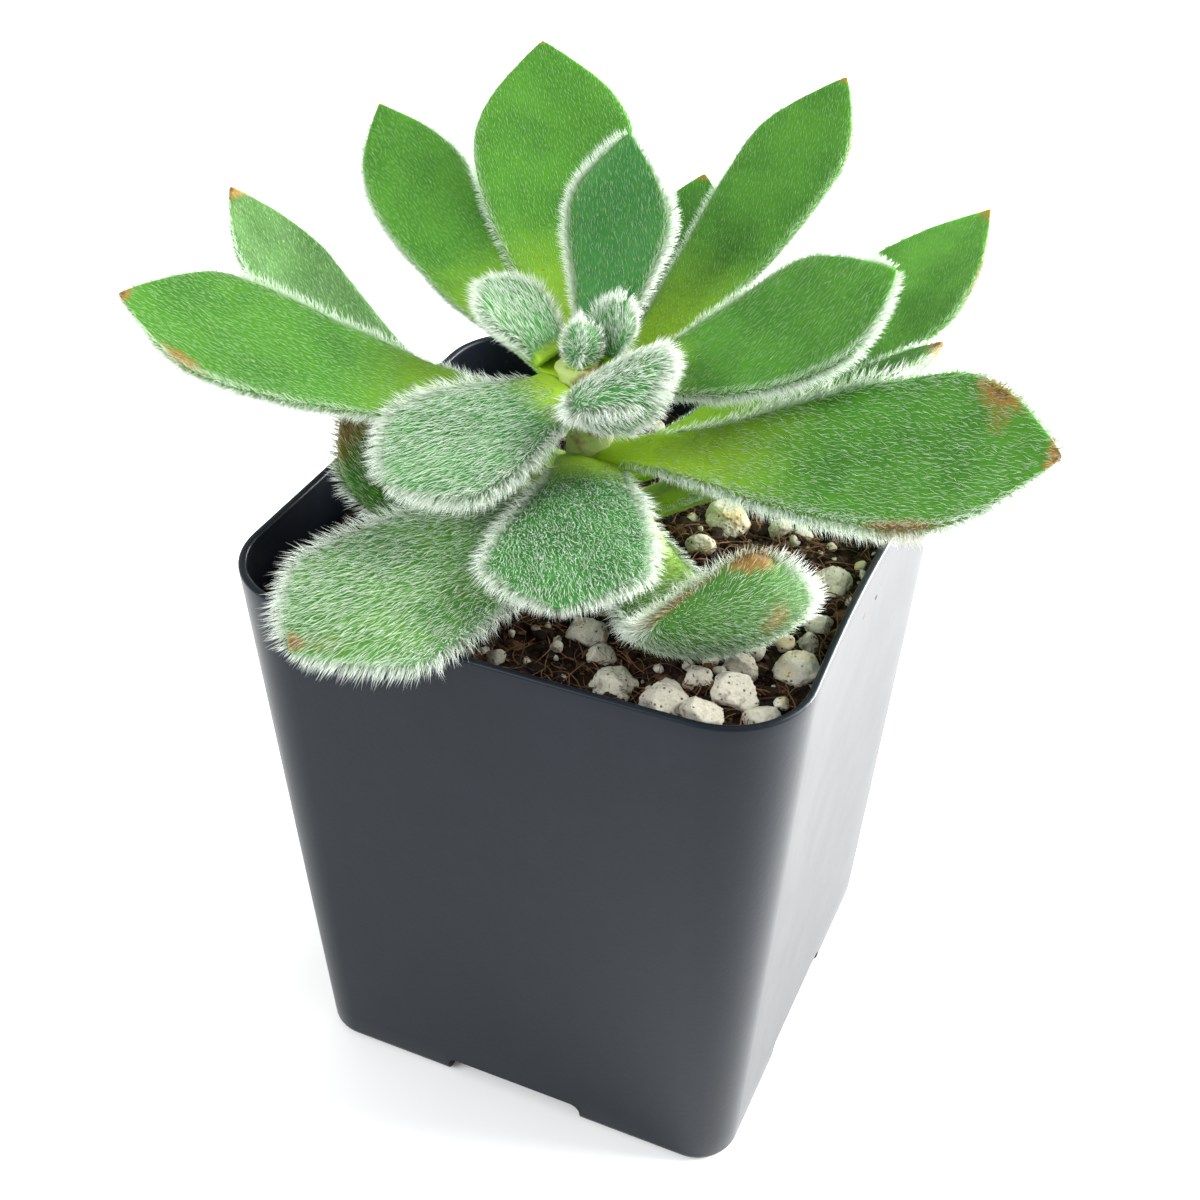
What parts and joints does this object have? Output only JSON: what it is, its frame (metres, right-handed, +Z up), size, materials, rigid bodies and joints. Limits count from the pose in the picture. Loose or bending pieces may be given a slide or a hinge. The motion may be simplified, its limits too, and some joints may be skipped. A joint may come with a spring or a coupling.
{
  "type": "potted succulent",
  "caption": "Furry rosette succulent with thick pointed leaves on a short stem, rooted in gritty soil in a small square tapered nursery pot.",
  "frame": {"origin": "centre of the pot's flat base, on the surface that the pot stands on", "axes": "+Z up; the pot's front wall faces -Y and its right wall faces +X; the leaves spread over the rim on all sides"},
  "size_m": [0.0889, 0.0714, 0.0967],
  "materials": {
    "pot": "satin black moulded plastic, slightly mottled and dusty",
    "soil": "damp dark brown coir and peat with fibres and fine grit; density stands for loose moist soil",
    "perlite": null,
    "stem": "pale green, soft and slightly woody low down",
    "leaf": "velvety mid green with a white hair fringe, yellow green at the base, rust brown at tips and bruises",
    "young_leaf": "silvery mint green under dense white hairs"
  },
  "bodies": {
    "root": {"pot": "pot", "soil": "soil", "stem": "stem", "perlite_01": "perlite", "perlite_02": "perlite", "perlite_03": "perlite", "perlite_04": "perlite", "perlite_05": "perlite", "perlite_06": "perlite", "perlite_07": "perlite", "perlite_08": "perlite", "perlite_09": "perlite", "perlite_10": "perlite", "perlite_11": "perlite", "perlite_12": "perlite", "perlite_13": "perlite", "perlite_14": "perlite", "perlite_15": "perlite", "perlite_16": "perlite", "perlite_17": "perlite", "perlite_18": "perlite", "perlite_19": "perlite", "perlite_20": "perlite", "perlite_21": "perlite", "perlite_22": "perlite", "leaf_left_long": "leaf", "leaf_left_rear": "leaf", "leaf_rear_left": "leaf", "leaf_rear_tall": "leaf", "leaf_upright": "leaf", "leaf_rear_hidden": "leaf", "leaf_rear_right": "leaf", "leaf_right_rear": "leaf", "leaf_right_upper": "leaf", "leaf_right_long": "leaf", "leaf_right_hidden": "leaf", "leaf_front": "young_leaf", "leaf_front_left": "young_leaf", "leaf_over_rim": "young_leaf", "leaf_curled_left": "leaf", "leaf_curled_right": "leaf", "centre_bud": "young_leaf", "crown_leaf_left": "young_leaf", "crown_leaf_rear": "young_leaf", "crown_leaf_right": "young_leaf"}
  },
  "joints": []
}
